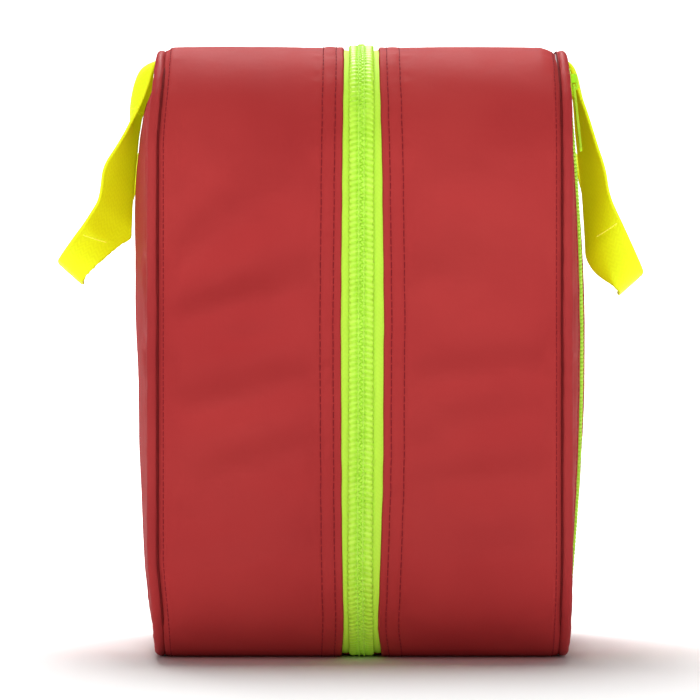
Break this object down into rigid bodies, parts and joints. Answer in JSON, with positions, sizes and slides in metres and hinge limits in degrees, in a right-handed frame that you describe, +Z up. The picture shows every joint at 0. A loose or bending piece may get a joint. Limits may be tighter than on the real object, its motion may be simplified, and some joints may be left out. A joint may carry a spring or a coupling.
{
  "type": "first aid kit",
  "caption": "Soft clamshell first aid bag: padded halves joined by a base hinge and zipper, piped edges, webbing grab handles, front pocket, dividers and dressings.",
  "frame": {"origin": "middle of the flat base, under the main zipper, halfway along the base hinge strip", "axes": "+Z up; X across the width of the bag; -Y towards the front face with the pocket, +Y towards the rear face; the main zipper lies in the plane Y = 0"},
  "size_m": [0.242, 0.2668, 0.2737],
  "materials": {
    "shell_red": "semi-matte coated woven fabric, red",
    "piping_red": "coated fabric piping, red",
    "zip_lime": "woven zipper tape and nylon coil, lime",
    "pull_lime": "gloss enamel, lime",
    "webbing_yellow": "woven webbing, bright yellow",
    "lining_grey": "plain woven lining, grey",
    "net_black": "elastic net, near black",
    "binding_red": "grosgrain binding, dark red",
    "gauze_white": "matte cotton gauze",
    "paper_white": "matte wrapper",
    "foil_gold": "metallised film",
    "steel": "brushed",
    "glove_blue": "matte film"
  },
  "bodies": {
    "rear_shell": {"rear_gusset": "shell_red", "rear_piping": "piping_red", "rear_seam_binding": "binding_red", "rear_zip_tape": "zip_lime", "rear_zip_coil": "zip_lime", "rear_lining_panel": "lining_grey", "rear_handle_tab_left": "webbing_yellow", "rear_handle_tab_right": "webbing_yellow", "rear_face_panel": "shell_red", "hinge_strip": "shell_red", "rear_divider_shelf": "lining_grey", "rear_divider_upright": "lining_grey", "bandage_roll_lower": "gauze_white", "bandage_roll_upper": "gauze_white", "dressing_pack_rear": "paper_white", "dressing_pack_middle": "paper_white", "foil_blanket_pack": "foil_gold"},
    "front_shell": {"front_gusset": "shell_red", "front_piping": "piping_red", "front_seam_binding": "binding_red", "front_zip_tape": "zip_lime", "front_zip_coil": "zip_lime", "front_lining_panel": "lining_grey", "front_handle_tab_left": "webbing_yellow", "front_handle_tab_right": "webbing_yellow", "front_face_panel": "lining_grey", "front_pocket_panel": "shell_red", "front_pocket_edge": "shell_red", "pocket_zip_tape_inner": "zip_lime", "pocket_zip_coil_inner": "zip_lime", "pocket_zip_tape_outer": "zip_lime", "pocket_zip_coil_outer": "zip_lime", "front_net_pocket": "net_black", "front_net_binding": "binding_red", "triangular_bandage_pack": "paper_white", "glove_pack": "glove_blue", "elastic_loops": "lining_grey", "shears": "steel", "tweezers": "steel", "tape_roll": "gauze_white"},
    "main_slider_left": {"main_slider_left": "pull_lime"},
    "main_slider_left_pull": {"main_slider_left_pull": "pull_lime"},
    "main_slider_right": {"main_slider_right": "pull_lime"},
    "main_slider_right_pull": {"main_slider_right_pull": "pull_lime"},
    "pocket_slider": {"pocket_slider": "pull_lime"},
    "pocket_slider_pull": {"pocket_slider_pull": "pull_lime"},
    "rear_handle": {"rear_handle": "webbing_yellow"},
    "front_handle": {"front_handle": "webbing_yellow"}
  },
  "joints": [
    {"name": "lid_hinge", "type": "hinge", "parent": "rear_shell", "child": "front_shell", "pos_m": [0, 0, -0.0003], "axis": [1, 0, 0], "range_deg": [0, 180]},
    {"name": "rear_handle_swing", "type": "hinge", "parent": "rear_shell", "child": "rear_handle", "pos_m": [0, 0.0932, 0.262], "axis": [1, 0, 0], "range_deg": [0, 150]},
    {"name": "front_handle_swing", "type": "hinge", "parent": "front_shell", "child": "front_handle", "pos_m": [0, -0.0932, 0.262], "axis": [-1, 0, 0], "range_deg": [0, 150]},
    {"name": "main_slider_left_run", "type": "slide", "parent": "rear_shell", "child": "main_slider_left", "axis": [-1, 0, 0], "range_m": [0, 0.053]},
    {"name": "main_slider_right_run", "type": "slide", "parent": "rear_shell", "child": "main_slider_right", "axis": [1, 0, 0], "range_m": [0, 0.033]},
    {"name": "main_pull_left_swing", "type": "hinge", "parent": "main_slider_left", "child": "main_slider_left_pull", "pos_m": [-0.005, 0, 0.27165], "axis": [0, 1, 0], "range_deg": [0, 150]},
    {"name": "main_pull_right_swing", "type": "hinge", "parent": "main_slider_right", "child": "main_slider_right_pull", "pos_m": [0.025, 0, 0.27165], "axis": [0, -1, 0], "range_deg": [0, 150]},
    {"name": "pocket_slider_run", "type": "hinge", "parent": "front_shell", "child": "pocket_slider", "pos_m": [-0.08, 1.0041, 0.136], "axis": [1, 0, 0], "range_deg": [0, 11.2]},
    {"name": "pocket_pull_swing", "type": "hinge", "parent": "pocket_slider", "child": "pocket_slider_pull", "pos_m": [-0.08, -0.09307, 0.25069], "axis": [-1, 0, 0], "range_deg": [0, 150]}
  ]
}
